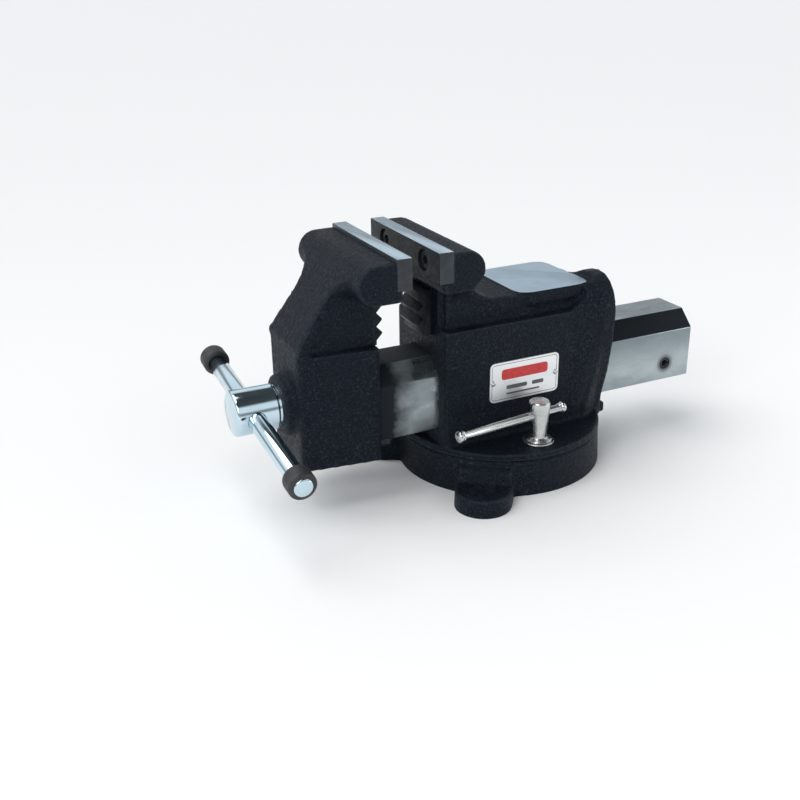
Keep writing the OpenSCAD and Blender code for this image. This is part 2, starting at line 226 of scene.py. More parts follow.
def cast(name, lumps, cuts, grain, passes, coats):
    """Fuses rough lumps into one casting with soft edges and fillets, then machines it."""
    rough = keep(name + "_rough", lumps, coats)
    fuse = rough.modifiers.new("Fuse", "REMESH")
    fuse.mode = "VOXEL"
    fuse.voxel_size = grain
    soften = rough.modifiers.new("Soften", "SMOOTH")
    soften.factor = 0.5
    soften.iterations = passes
    return machine(rough, cuts, coats)


def turned(bm, profile, place, closed=False, sides=64, skin=0):
    """Turns a profile of (radius, distance along the axis) points about the Z axis of a place."""
    ring = [bm.verts.new((radius, 0, along)) for radius, along in profile]
    ends = list(zip(ring, ring[1:])) + ([(ring[-1], ring[0])] if closed else [])
    edges = [bm.edges.new(pair) for pair in ends]
    before = set(bm.faces)
    bmesh.ops.spin(bm, geom=ring + edges, cent=(0, 0, 0), axis=(0, 0, 1), angle=2 * pi, steps=sides,
                   use_merge=True)
    faces = [f for f in bm.faces if f not in before]
    verts = list({v for f in faces for v in f.verts})
    bmesh.ops.remove_doubles(bm, verts=verts, dist=1e-7)
    faces = [f for f in bm.faces if f not in before]
    bmesh.ops.recalc_face_normals(bm, faces=faces)
    for face in faces:
        face.material_index = skin
    bmesh.ops.transform(bm, matrix=place, verts=list({v for f in faces for v in f.verts}))


def shader(name, colour, roughness, metallic=0.0):
    """A new material, its node tree and its main shader."""
    coat = bpy.data.materials.new(name)
    coat.use_nodes = True
    tree = coat.node_tree
    surface = tree.nodes["Principled BSDF"]
    surface.inputs["Base Color"].default_value = (*colour, 1)
    surface.inputs["Roughness"].default_value = roughness
    surface.inputs["Metallic"].default_value = metallic
    return coat, tree, surface


def noise(tree, scale, detail=4.0, stretch=(1, 1, 1), roughness=0.55):
    """Noise in the piece's own place, stretched along any axis."""
    where = tree.nodes.new("ShaderNodeTexCoord")
    mapping = tree.nodes.new("ShaderNodeMapping")
    mapping.inputs["Scale"].default_value = stretch
    grain = tree.nodes.new("ShaderNodeTexNoise")
    grain.inputs["Scale"].default_value = scale
    grain.inputs["Detail"].default_value = detail
    grain.inputs["Roughness"].default_value = roughness
    tree.links.new(where.outputs["Object"], mapping.inputs["Vector"])
    tree.links.new(mapping.outputs["Vector"], grain.inputs["Vector"])
    return grain.outputs["Fac"]


def ramp(tree, source, stops):
    """Maps a value onto colours or greys, given as (place, colour) stops."""
    band = tree.nodes.new("ShaderNodeValToRGB")
    while len(band.color_ramp.elements) < len(stops):
        band.color_ramp.elements.new(0.5)
    for element, (place, colour) in zip(band.color_ramp.elements, stops):
        element.position = place
        element.color = (*colour, 1) if isinstance(colour, tuple) else (colour, colour, colour, 1)
    tree.links.new(source, band.inputs["Fac"])
    return band.outputs["Color"]


def vary(tree, surface, socket, source, stops):
    """Lets a value set one of a surface's inputs, through (place, colour) stops."""
    tree.links.new(ramp(tree, source, stops), surface.inputs[socket])


def blend(tree, factor, first, second):
    """Mixes two colours by a factor."""
    mix = tree.nodes.new("ShaderNodeMix")
    mix.data_type = "RGBA"
    tree.links.new(factor, mix.inputs["Factor"])
    for socket, value in ((mix.inputs["A"], first), (mix.inputs["B"], second)):
        if isinstance(value, tuple):
            socket.default_value = (*value, 1)
        else:
            tree.links.new(value, socket)
    return mix.outputs["Result"]


def bump(tree, surface, height, strength, distance, onto=None):
    """Adds relief to a surface, over any relief it already has."""
    relief = tree.nodes.new("ShaderNodeBump")
    relief.inputs["Strength"].default_value = strength
    relief.inputs["Distance"].default_value = distance
    tree.links.new(height, relief.inputs["Height"])
    if onto is not None:
        tree.links.new(onto, relief.inputs["Normal"])
    tree.links.new(relief.outputs["Normal"], surface.inputs["Normal"])
    return relief.outputs["Normal"]


def hammer_paint(name):
    """Blue-black hammer paint over rough cast iron, rubbed lighter along its edges."""
    coat, tree, surface = shader(name, (0.006, 0.009, 0.014), 0.5)
    surface.inputs["Specular IOR Level"].default_value = 0.14
    surface.inputs["Specular Tint"].default_value = (0.72, 0.86, 1, 1)
    flecks = ramp(tree, noise(tree, 700, 3, roughness=0.7), [
        (0.4, (0.002, 0.0033, 0.006)), (0.56, (0.0075, 0.0105, 0.0165)), (0.7, (0.034, 0.043, 0.056))])
    cloud = ramp(tree, noise(tree, 34, 5), [(0.35, 0.0), (0.7, 0.5)])
    shade = blend(tree, cloud, flecks, (0.005, 0.0075, 0.0125))
    edges = tree.nodes.new("ShaderNodeNewGeometry")
    rubbed = ramp(tree, edges.outputs["Pointiness"], [(0.52, 0.0), (0.6, 0.7)])
    tree.links.new(blend(tree, rubbed, shade, (0.05, 0.062, 0.08)), surface.inputs["Base Color"])
    vary(tree, surface, "Roughness", noise(tree, 420, 4), [(0.3, 0.36), (0.7, 0.6)])
    sand = bump(tree, surface, noise(tree, 140, 6, roughness=0.65), 0.45, 0.0014)
    bump(tree, surface, noise(tree, 560, 3, roughness=0.7), 0.75, 0.0008, onto=sand)
    return coat


def machined(name):
    """Bright turned or ground iron with fine scratches and a few dull stains."""
    coat, tree, surface = shader(name, (0.5, 0.52, 0.54), 0.3, metallic=1.0)
    stains = ramp(tree, noise(tree, 60, 6), [(0.35, (0.47, 0.60, 0.71)), (0.75, (0.40, 0.50, 0.58))])
    tree.links.new(stains, surface.inputs["Base Color"])
    vary(tree, surface, "Roughness", noise(tree, 90, 8), [(0.3, 0.3), (0.7, 0.42)])
    bump(tree, surface, noise(tree, 700, 3, stretch=(0.05, 1, 1)), 0.25, 0.0002)
    return coat


paint = hammer_paint("hammer paint")
bright_iron = machined("machined iron")

base_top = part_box("base")[1][2]
base_radius = 0.0715
lug_circle = 0.084
lug_round = 0.019
lug_top = 0.012
gusset_half = 0.0175
bolt_hole_radius = 0.0065
pivot_radius = 0.010
slot_inner, slot_outer = 0.0487, 0.0593
undercut_inner, undercut_outer = 0.046, 0.062
undercut_low, undercut_top = 0.0055, 0.014
lug_angles = (radians(-127), radians(152), radians(53))

lumps = bmesh.new()
holes, faces_off, rim, slot_ring, pivot_bore = (bmesh.new() for _ in range(5))
rod(lumps, (0, 0, -0.002), (0, 0, base_top + 0.003), base_radius + 0.0005, base_radius - 0.001, sides=128)
for angle in lug_angles:
    lug = bmesh.new()
    rod(lug, (lug_circle, 0, -0.002), (lug_circle, 0, lug_top), lug_round, lug_round - 0.0006)
    slab(lug, rectangle(0.05, lug_circle, -lug_round, lug_round), "z", -0.002, lug_top)
    gusset = [(0.05, -0.002), (0.0775, -0.002), (0.0772, lug_top), (0.0752, 0.0195), (0.072, 0.0215),
              (0.05, 0.0215)]
    slab(lug, gusset, "y", -gusset_half, gusset_half)
    spoke = Matrix.Rotation(angle, 4, "Z")
    join(lumps, lug, spoke)
    bolt = spoke @ Vector((lug_circle + 0.0004, 0, 0))
    rod(holes, bolt - Vector((0, 0, 0.004)), bolt + Vector((0, 0, 0.017)), bolt_hole_radius)
slab(faces_off, rectangle(-0.2, 0.2, base_top, 0.06), "y", -0.2, 0.2, skin=1)
slab(faces_off, rectangle(-0.2, 0.2, -0.02, 0), "y", -0.2, 0.2, skin=1)
turned(rim, [(base_radius - 0.0022, base_top + 0.0005), (base_radius + 0.01, base_top + 0.0005),
             (base_radius + 0.01, base_top - 0.0015), (base_radius - 0.0008, base_top - 0.0015)],
       Matrix(), closed=True, sides=128)
turned(slot_ring, [(undercut_inner, undercut_low), (undercut_outer, undercut_low),
                   (undercut_outer, undercut_top), (slot_outer, undercut_top), (slot_outer, 0.03),
                   (slot_inner, 0.03), (slot_inner, undercut_top), (undercut_inner, undercut_top)],
       Matrix(), closed=True, sides=128, skin=1)
rod(pivot_bore, (0, 0, 0.008), (0, 0, 0.03), pivot_radius, skin=1)
base = cast("base_casting", lumps, [faces_off, rim, holes, slot_ring, pivot_bore], 0.0011, 9,
            [paint, bright_iron])
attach(base, "base")
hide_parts("base")

# ---------------------------------------------------------------------------------------------
# Fixed jaw casting. One piece of cast iron: swivel plate, body, anvil, rear flange and jaw head.
# The anvil's top, the slide's passage and the seat of the jaw plate are machined bright.

plate_low, plate_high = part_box("fixed_jaw_plate")
seat_x = plate_high[0]
jaw_half = plate_high[1]
front_x, rear_x = -0.0615, 0.068
body_half, neck_half = 0.036, 0.028
turn_low, turn_high, turn_radius = base_top + 0.0003, 0.0302, 0.071
shelf_z, anvil_z = 0.1105, 0.1268
head_top, head_low = 0.167, 0.1412
slide_half, slide_low, slide_top = 0.0252, 0.0402, 0.0889
slide_cap, slide_shoulder = 0.0133, 0.0776
pad_front, pad_rear, pad_half = -0.003, 0.0515, 0.030
lock_hole_radius = 0.0054
lock_spots = [(-0.001, -0.054), (-0.001, 0.054)]

lumps = bmesh.new()
faces_off, rim, passage_cut, lock_holes = (bmesh.new() for _ in range(4))
rod(lumps, (0, 0, turn_low - 0.002), (0, 0, turn_high), turn_radius, turn_radius, sides=160)
slab(lumps, rounded(rectangle(front_x, 0.047, -body_half, body_half), 0.003),
     "z", turn_low - 0.002, shelf_z)

# The lower walls swell outwards to the rear flange, which is narrow at the foot. Its round near shoulder
# stands above the anvil, and its crown falls away to a lower far shoulder.
flange_side = [(-0.0285, 0.024), (-0.030, 0.042), (-0.0355, 0.062), (-0.039, 0.084), (-0.040, 0.103)]
shoulder = [(0.014 * cos(radians(a)), 0.014 * sin(radians(a))) for a in range(0, 91, 15)]
flange = flange_side + [
    (-0.0399, 0.1075), (-0.0390, 0.1135), (-0.0362, 0.1205), (-0.0310, 0.1266), (-0.0250, 0.1298),
    (-0.0180, 0.1308), (-0.0100, 0.1295), (-0.0020, 0.1256), (0.0070, 0.1215), (0.0160, 0.1195)]
flange += [(0.026 + y, 0.1055 + z) for y, z in reversed(shoulder)]
flange += [(-y, z) for y, z in reversed(flange_side)]
under_anvil = anvil_z - 0.0006
slab(lumps, flange, "x", rear_x - 0.011, rear_x)
slab(lumps, [(y * 0.93, min(z, under_anvil)) for y, z in flange], "x", rear_x - 0.02, rear_x - 0.008)
for start in (0.034, 0.046):
    corners = []
    for y, z in flange:
        corners.append((start, max(-body_half, min(body_half, y * 1.4)), min(z, shelf_z)))
        corners.append((rear_x - 0.008, y, min(z, under_anvil)))
    hull(lumps, corners)
slab(lumps, rectangle(rear_x - 0.01, rear_x + 0.0058, -0.026, 0.026), "z", turn_low - 0.002, turn_low + 0.008)

# Neck and saddle: the back of the jaw head runs down in one sweep to the anvil.
saddle = [(-0.016 + 0.030 * cos(radians(a)), 0.1555 + 0.030 * sin(radians(a))) for a in range(196, 264, 8)]
sweep = [(front_x, shelf_z - 0.004), (front_x, 0.150), (-0.045, 0.150)] + saddle
sweep_end = [(0.050, anvil_z - 0.001), (0.050, shelf_z - 0.004)]
slab(lumps, sweep + sweep_end, "y", 0.004 - neck_half, neck_half - 0.004)
slab(lumps, [(max(x, front_x + 0.004), z) for x, z in sweep] + sweep_end, "y", -neck_half, neck_half)
for side in (-1, 1):
    hull(lumps, [(x, side * y, z) for x, y, z in (
        (-0.056, 0.026, 0.132), (-0.050, 0.026, 0.128), (-0.036, 0.026, 0.134),
        (-0.058, 0.040, head_low + 0.001), (-0.044, 0.046, 0.150), (-0.043, 0.044, 0.158),
        (-0.058, 0.046, 0.150), (-0.040, 0.028, 0.150))])

head = [(seat_x - 0.003, plate_low[2] - 0.0002), (plate_low[0] + 0.0035, plate_low[2] - 0.0002),
        (plate_low[0] + 0.0045, head_low), (-0.0495, head_low)]
head += [(-0.0532 + 0.0124 * cos(radians(a)), 0.154 + 0.0130 * sin(radians(a))) for a in range(-12, 91, 12)]
head += [(seat_x - 0.003, head_top)]
slab(lumps, head, "y", -jaw_half, jaw_half)

# Anvil: a raised pad with round corners, left high and then ground flat.
anvil = rounded(rectangle(pad_front, pad_rear, -pad_half, pad_half), 0.011, steps=8)
slab(lumps, anvil, "z", 0.1185, anvil_z + 0.003)
slab(faces_off, rectangle(pad_front - 0.003, pad_rear + 0.002, anvil_z, 0.136),
     "y", -0.034, 0.034, skin=1)
slab(faces_off, rectangle(seat_x - 0.02, seat_x, plate_low[2] + 0.0001, 0.18), "y", -0.06, 0.06, skin=1)
slab(faces_off, rectangle(-0.1, 0.1, 0, turn_low), "y", -0.1, 0.1, skin=1)
turned(rim, [(turn_radius - 0.002, turn_low - 0.0005), (turn_radius + 0.01, turn_low - 0.0005),
             (turn_radius + 0.01, turn_low + 0.0012), (turn_radius - 0.0003, turn_low + 0.0012)],
       Matrix(), closed=True, sides=160)
passage = [(-1, slide_low - 0.0006), (1, slide_low - 0.0006), (1, slide_shoulder), (0.53, slide_top + 0.0006),
           (-0.53, slide_top + 0.0006), (-1, slide_shoulder)]
slab(passage_cut, [(y * (slide_half + 0.0006), z) for y, z in passage], "x", -0.1, 0.1, skin=1)
for x, y in lock_spots:
    rod(lock_holes, (x, y, 0.01), (x, y, 0.032), lock_hole_radius, skin=1)
rod(lock_holes, (0, 0, 0.01), (0, 0, 0.0352), pivot_radius, skin=1)
fixed_casting = cast("fixed_jaw_casting", lumps, [faces_off, rim, passage_cut, lock_holes], 0.0012, 9,
                     [paint, bright_iron])
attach(fixed_casting, "turntable")
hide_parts("fixed_jaw_body")

# ---------------------------------------------------------------------------------------------
# Movable jaw casting. A block around the front of the slide bar, with a neck whose front slopes
# back to the jaw head and flares to its full width. A round boss carries the spindle.

moving_low, moving_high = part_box("movable_jaw_plate")
moving_seat = moving_low[0]
block_front, block_rear = -0.1587, -0.1055
block_low, block_top = 0.030, 0.1075
block_front_half, block_rear_half = 0.0263, 0.033
web_half = 0.023
spindle_z = 0.0685
spindle_bore_radius = 0.00905
boss_front = -0.1652
slope_foot, slope_rate = 0.1125, 0.712

lumps = bmesh.new()
faces_off, spindle_bore, bar_pocket = (bmesh.new() for _ in range(3))
plan = [(block_front, -block_front_half), (block_rear, -block_rear_half),
        (block_rear, block_rear_half), (block_front, block_front_half)]
slab(lumps, rounded(plan, 0.0045), "z", block_low, block_top)
slab(lumps, [(block_front, block_top - 0.004), (block_front, slope_foot), (-0.127, 0.157), (-0.110, 0.157),
             (block_rear, 0.150), (block_rear, block_top - 0.004)], "y", -web_half, web_half)

# The sloping front is a plate that flares to the head near its top. Each (height, half width) level and
# the next one up are wrapped into a step.
levels = [(0.1085, 0.0265), (0.1125, 0.0272), (0.1165, 0.0262), (0.124, 0.0254), (0.131, 0.0243),
          (0.138, 0.0239), (0.143, 0.0244), (0.1474, 0.0266), (0.150, 0.0286), (0.1527, 0.0318),
          (0.1548, 0.0365), (0.157, 0.0415), (0.160, 0.0450)]
for lower, upper in zip(levels, levels[1:]):
    corners = []
    for z, half in (lower, upper):
        climb = max(0, z - slope_foot)
        front = block_front + climb * slope_rate
        inside = front + 0.010 + 0.10 * climb
        corners += [(front, half, z), (front, -half, z), (inside, half - 0.002, z), (inside, 0.002 - half, z)]
    hull(lumps, corners)
for side in (-1, 1):
    hull(lumps, [(x, side * y, z) for x, y, z in (
        (-0.134, 0.024, 0.144), (-0.115, 0.023, 0.138), (-0.108, 0.023, 0.140), (-0.129, 0.031, 0.152),
        (-0.113, 0.033, 0.144), (-0.112, 0.042, 0.150), (-0.124, 0.041, 0.154))])

moving_head = [(moving_seat + 0.003, moving_low[2] - 0.0002), (moving_seat + 0.0045, moving_low[2] - 0.0002),
               (moving_seat + 0.0035, 0.141), (moving_seat - 0.015, 0.141)]
moving_head += [(-0.115 + 0.0124 * cos(radians(a)), 0.1535 + 0.0127 * sin(radians(a)))
                for a in range(250, 84, -12)]
moving_head += [(moving_seat + 0.003, 0.1662)]
slab(lumps, moving_head, "y", -jaw_half, jaw_half)
rod(lumps, (boss_front, 0, spindle_z), (block_front + 0.004, 0, spindle_z), 0.0195, 0.0215)

slab(faces_off, rectangle(moving_seat, moving_seat + 0.02, moving_low[2] + 0.0001, 0.18),
     "y", -0.06, 0.06, skin=1)
slab(faces_off, rectangle(boss_front - 0.02, boss_front, -0.03, 0.03), "z", 0.04, 0.10, skin=1)
rod(spindle_bore, (boss_front - 0.01, 0, spindle_z), (-0.140, 0, spindle_z), spindle_bore_radius, skin=1)
pocket = [(-1, slide_low), (1, slide_low), (1, slide_shoulder), (0.53, slide_top), (-0.53, slide_top),
          (-1, slide_shoulder)]
slab(bar_pocket, [(y * (slide_half + 0.0002), z) for y, z in pocket],
     "x", block_front + 0.0107, -0.09, skin=1)
movable_casting = cast("movable_jaw_casting", lumps, [faces_off, spindle_bore, bar_pocket], 0.0012, 9,
                       [paint, bright_iron])
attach(movable_casting, "carriage")
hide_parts("movable_jaw")

# ---------------------------------------------------------------------------------------------
# Slide bar. A machined steel channel, open below, that runs through the fixed body. Paint from
# the movable jaw reaches over its front end. The rest is bare and stained, darker towards the top of
# its rear walls, with a painted dark reflection on its sloping edges towards the rear, and a cross hole for
# the stop pin.


def ease(bm, width, steps):
    """Rounds every edge of a lump a little."""
    bmesh.ops.bevel(bm, geom=bm.edges[:], affect="EDGES", offset=width, segments=steps, profile=0.5,
                    material=-1)


def maths(tree, operation, *values):
    """Works out one number from others."""
    step = tree.nodes.new("ShaderNodeMath")
    step.operation = operation
    for socket, value in zip(step.inputs, values):
        if isinstance(value, float):
            socket.default_value = value
        else:
            tree.links.new(value, socket)
    return step.outputs["Value"]


def span(tree, value, first, last, start=0.0, end=1.0):
    """Maps the stretch between two values onto another one."""
    scaled = tree.nodes.new("ShaderNodeMapRange")
    for socket, number in (("From Min", first), ("From Max", last), ("To Min", start), ("To Max", end)):
        scaled.inputs[socket].default_value = number
    tree.links.new(value, scaled.inputs["Value"])
    return scaled.outputs["Result"]


bar_low, bar_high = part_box("slide_bar")
channel_half, channel_top = 0.015, 0.083
pin_hole_radius = 0.004
bar, pin_hole = bmesh.new(), bmesh.new()
section = [(-slide_half, bar_low[2]), (-channel_half, bar_low[2]), (-channel_half, channel_top),
           (channel_half, channel_top), (channel_half, bar_low[2]), (slide_half, bar_low[2]),
           (slide_half, slide_shoulder), (slide_cap, bar_high[2]), (-slide_cap, bar_high[2]),
           (-slide_half, slide_shoulder)]
slab(bar, section, "x", bar_low[0], bar_high[0])
ease(bar, 0.0009, 3)
pin_low, pin_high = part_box("slide_stop_pin")
pin_x, pin_z = (pin_low[0] + pin_high[0]) / 2, (pin_low[2] + pin_high[2]) / 2
rod(pin_hole, (pin_x, -0.03, pin_z), (pin_x, 0.03, pin_z), pin_hole_radius, sides=48)

slide_steel, tree, surface = shader("slide steel", (0.5, 0.52, 0.54), 0.3, metallic=1.0)
smears = ramp(tree, noise(tree, 30, 7, stretch=(0.3, 1, 0.8)), [
    (0.34, (0.50, 0.56, 0.58)), (0.52, (0.33, 0.38, 0.40)), (0.72, (0.13, 0.15, 0.155))])
where = tree.nodes.new("ShaderNodeTexCoord")
split = tree.nodes.new("ShaderNodeSeparateXYZ")
tree.links.new(where.outputs["Object"], split.inputs["Vector"])
along, height = split.outputs["X"], split.outputs["Z"]
facing = tree.nodes.new("ShaderNodeNewGeometry")
lean = tree.nodes.new("ShaderNodeSeparateXYZ")
tree.links.new(facing.outputs["Normal"], lean.inputs["Vector"])
sloping = ramp(tree, lean.outputs["Z"], [(0.35, 0.0), (0.5, 1.0), (0.85, 1.0), (0.95, 0.0)])
level_top = ramp(tree, lean.outputs["Z"], [(0.9, 0.0), (0.96, 1.0)])

# On the rear part only, the upper walls get darker towards the top, and the sloping edges carry a painted
# dark reflection.
rearward = span(tree, along, 0.0, 0.06)
upper_wall_darkening = maths(tree, "MULTIPLY", span(tree, height, 0.050, slide_shoulder, end=0.8), rearward)
walls_tone = blend(tree, upper_wall_darkening, smears, (0.13, 0.165, 0.18))
tops_tone = blend(tree, level_top, walls_tone, smears)
# A painted dark reflection: the sloping edges of the rear part are coloured near black.
dark_slope_reflection = maths(tree, "MULTIPLY", sloping, rearward)
slope_reflection_tone = blend(tree, dark_slope_reflection, tops_tone, (0.012, 0.015, 0.018))

# Grime has gathered in rings round the stop pin.
flattened = tree.nodes.new("ShaderNodeCombineXYZ")
tree.links.new(along, flattened.inputs["X"])
tree.links.new(height, flattened.inputs["Z"])
from_pin = tree.nodes.new("ShaderNodeVectorMath")
from_pin.operation = "DISTANCE"
tree.links.new(flattened.outputs["Vector"], from_pin.inputs[0])
from_pin.inputs[1].default_value = (pin_x, 0, pin_z)
grime = ramp(tree, from_pin.outputs["Value"], [
    (0.004, 0.95), (0.0052, 0.25), (0.0062, 0.5), (0.0075, 0.1), (0.011, 0.0)])
stains = blend(tree, grime, slope_reflection_tone, (0.03, 0.034, 0.036))

# The paint fades out in wisps along the walls, and runs further back along the top.
fade = span(tree, along, -0.105, -0.073, 0.95, 0.0)
wisps = ramp(tree, noise(tree, 70, 7), [(0.35, 0.0), (0.68, 0.32)])
patchy = maths(tree, "MULTIPLY_ADD", fade, 1.3, maths(tree, "SUBTRACT", wisps, 0.2))
drifted = ramp(tree, patchy, [(0.1, 0.0), (0.75, 1.0)])
top_coat = maths(tree, "MULTIPLY", level_top, span(tree, along, -0.058, -0.035, 0.95, 0.0))
overspray = maths(tree, "MAXIMUM", drifted, top_coat)
tree.links.new(blend(tree, overspray, stains, (0.013, 0.016, 0.021)), surface.inputs["Base Color"])
vary(tree, surface, "Metallic", overspray, [(0.0, 1.0), (0.8, 0.1)])
vary(tree, surface, "Specular IOR Level", overspray, [(0.0, 0.5), (0.8, 0.12)])
polish = ramp(tree, noise(tree, 110, 7, stretch=(0.3, 1, 1)), [(0.3, 0.2), (0.7, 0.42)])
tree.links.new(blend(tree, overspray, polish, (0.55, 0.55, 0.55)), surface.inputs["Roughness"])
bump(tree, surface, noise(tree, 420, 4, stretch=(0.06, 1, 1)), 0.3, 0.0002)

slide_bar = machine(keep("slide_channel_rough", bar, [slide_steel]), [pin_hole], [slide_steel])
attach(slide_bar, "carriage")
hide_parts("slide_bar")

# ---------------------------------------------------------------------------------------------
# Jaw plates. Hardened steel bars, blackened all over, with a milled diamond pattern on the
# gripping face and a top ground bright. Two sunk socket screws hold each one.

grip, tree, surface = shader("blackened jaw face", (0.02, 0.023, 0.027), 0.45, metallic=0.1)
surface.inputs["Specular IOR Level"].default_value = 0.2
where = tree.nodes.new("ShaderNodeTexCoord")
lines = []
for lean in (45, -45):
    turned_map = tree.nodes.new("ShaderNodeMapping")
    turned_map.inputs["Rotation"].default_value = (radians(lean), 0, 0)
    tree.links.new(where.outputs["Object"], turned_map.inputs["Vector"])
    wave = tree.nodes.new("ShaderNodeTexWave")
    wave.bands_direction = "Y"
    wave.inputs["Scale"].default_value = 190
    tree.links.new(turned_map.outputs["Vector"], wave.inputs["Vector"])
    lines.append(wave.outputs["Fac"])
diamonds = maths(tree, "MINIMUM", *lines)
vary(tree, surface, "Base Color", diamonds,
     [(0.1, (0.005, 0.0065, 0.0085)), (0.8, (0.03, 0.035, 0.041))])
vary(tree, surface, "Roughness", noise(tree, 240, 4), [(0.3, 0.34), (0.7, 0.6)])
milling = bump(tree, surface, diamonds, 0.7, 0.0004)
bump(tree, surface, noise(tree, 800, 3), 0.3, 0.0002, onto=milling)


def blackening(name, metallic, sheen, dark, light):
    """Blackened steel, mottled by handling and rubbed lighter along its edges."""
    coat, tree, surface = shader(name, light, 0.42, metallic=metallic)
    surface.inputs["Specular IOR Level"].default_value = sheen
    edges = tree.nodes.new("ShaderNodeNewGeometry")
    worn = ramp(tree, edges.outputs["Pointiness"], [(0.53, 0.0), (0.66, 0.6)])
    mottled = ramp(tree, noise(tree, 160, 6), [(0.35, dark), (0.7, light)])
    tree.links.new(blend(tree, worn, mottled, (0.11, 0.125, 0.14)), surface.inputs["Base Color"])
    vary(tree, surface, "Roughness", noise(tree, 200, 5), [(0.3, 0.34), (0.7, 0.58)])
    bump(tree, surface, noise(tree, 500, 5), 0.3, 0.0003)
    return coat


blackened = blackening("blackened steel", 0.3, 0.4, (0.007, 0.009, 0.012), (0.022, 0.027, 0.033))

ground, tree, surface = shader("ground steel", (0.66, 0.7, 0.74), 0.24, metallic=1.0)
vary(tree, surface, "Base Color", noise(tree, 50, 6, stretch=(1, 0.3, 1)),
     [(0.3, (0.50, 0.62, 0.70)), (0.75, (0.40, 0.50, 0.57))])
vary(tree, surface, "Roughness", noise(tree, 140, 6, stretch=(1, 0.2, 1)),
     [(0.3, 0.18), (0.7, 0.34)])
bump(tree, surface, noise(tree, 900, 3, stretch=(1, 0.04, 1)), 0.25, 0.00015)

screw_reach = 0.028
sink_radius, sink_depth, shank_radius = 0.007, 0.0065, 0.0042
screw_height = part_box("fixed_plate_screws")[0][2] + 0.0065
for name, low, high, way, body in (("fixed_jaw_plate", plate_low, plate_high, 1, "turntable"),
                                   ("movable_jaw_plate", moving_low, moving_high, -1, "carriage")):
    face_x = low[0] if way > 0 else high[0]
    back_x = high[0] if way > 0 else low[0]
    bar = bmesh.new()
    slab(bar, rectangle(low[1], high[1], low[2], high[2]), "x", low[0], high[0])
    ease(bar, 0.0005, 2)
    for side in bar.faces:
        side.material_index = 2 if side.normal.z > 0.7 else 0 if side.normal.x * way < -0.9 else 1
    sinks, shanks = bmesh.new(), bmesh.new()
    for y in (-screw_reach, screw_reach):
        rod(sinks, (face_x - way * 0.001, y, screw_height), (face_x + way * sink_depth, y, screw_height),
            sink_radius, skin=1)
        rod(shanks, (face_x, y, screw_height), (back_x + way * 0.001, y, screw_height), shank_radius, skin=1)
    finishes = [grip, blackened, ground]
    plate = machine(keep(name + "_bar_rough", bar, finishes), [sinks, shanks], finishes)
    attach(plate, body)
    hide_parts(name)

    screws, sockets = bmesh.new(), bmesh.new()
    for y in (-screw_reach, screw_reach):
        into = Matrix.Translation((face_x, y, screw_height)) @ Matrix.Rotation(way * pi / 2, 4, "Y")
        turned(screws, [(0, 0.0015), (0.0056, 0.0015), (0.0062, 0.0018), (0.0065, 0.0024), (0.0065, 0.0063),
                        (0.0062, 0.0065), (0.004, 0.0065), (0.004, 0.0232), (0.0032, 0.024), (0, 0.024)],
               into)
        rod(sockets, (face_x + way * 0.001, y, screw_height), (face_x + way * 0.0045, y, screw_height),
            0.0034, sides=6)
    screw_pair = machine(keep(name + "_screws_rough", screws, [blackened]), [sockets], [blackened])
    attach(screw_pair, body)
    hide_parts(name.replace("jaw_plate", "plate_screws"))

# ---------------------------------------------------------------------------------------------
# Pipe jaws. Two blackened steel blocks under the plates, cut into level vee teeth whose tips are
# rubbed by pipes. The fixed one is left thick above its teeth.


def shade_round(piece, angle):
    """Shades a piece smoothly, apart from the edges that turn by more than an angle."""
    piece.data.shade_smooth()
    piece.data.set_sharp_from_angle(angle=radians(angle))


teeth_low, tooth_pitch = 0.1062, 0.0092
tooth_root, tooth_tip, tooth_flat = 0.0052, 0.0095, 0.0005
scale_black = blackening("scale-black steel", 0.05, 0.16, (0.004, 0.0055, 0.008), (0.013, 0.016, 0.021))

for name, way, body in (("fixed_pipe_jaw", -1, "turntable"), ("movable_pipe_jaw", 1, "carriage")):
    low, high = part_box(name)
    back_x = high[0] if way < 0 else low[0]
    root_x, tip_x = back_x + way * tooth_root, back_x + way * tooth_tip
    blunt_x = tip_x - way * 0.0004
    teeth = [(back_x, low[2]), (root_x, low[2]), (root_x, teeth_low)]
    for tooth in range(3):
        middle_z = teeth_low + tooth_pitch * (tooth + 0.5)
        teeth += [(blunt_x, middle_z - tooth_flat), (blunt_x, middle_z + tooth_flat),
                  (root_x, middle_z + tooth_pitch / 2)]
    land_x = tip_x if way < 0 else root_x
    teeth = teeth[:-1] + [(land_x, middle_z + tooth_pitch / 2), (land_x, high[2]), (back_x, high[2])]
    block = bmesh.new()
    slab(block, teeth, "y", low[1], high[1])
    ease(block, 0.00035, 2)
    pipe_jaw = keep(name + "_block", block, [scale_black])
    shade_round(pipe_jaw, 38)
    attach(pipe_jaw, body)
    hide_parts(name)

# ---------------------------------------------------------------------------------------------
# Spindle. A chromed steel screw turned from one bar, with a cylinder head that is cross-drilled
# for the handle and a trapezoidal thread of 5 mm pitch behind the plain neck.

chrome, tree, surface = shader("chrome plate", (0.72, 0.74, 0.76), 0.09, metallic=1.0)
vary(tree, surface, "Roughness", noise(tree, 120, 7), [(0.35, 0.05), (0.75, 0.17)])
vary(tree, surface, "Base Color", noise(tree, 30, 5),
     [(0.3, (0.62, 0.76, 0.83)), (0.75, (0.52, 0.66, 0.74))])
bump(tree, surface, noise(tree, 260, 5), 0.06, 0.0002)

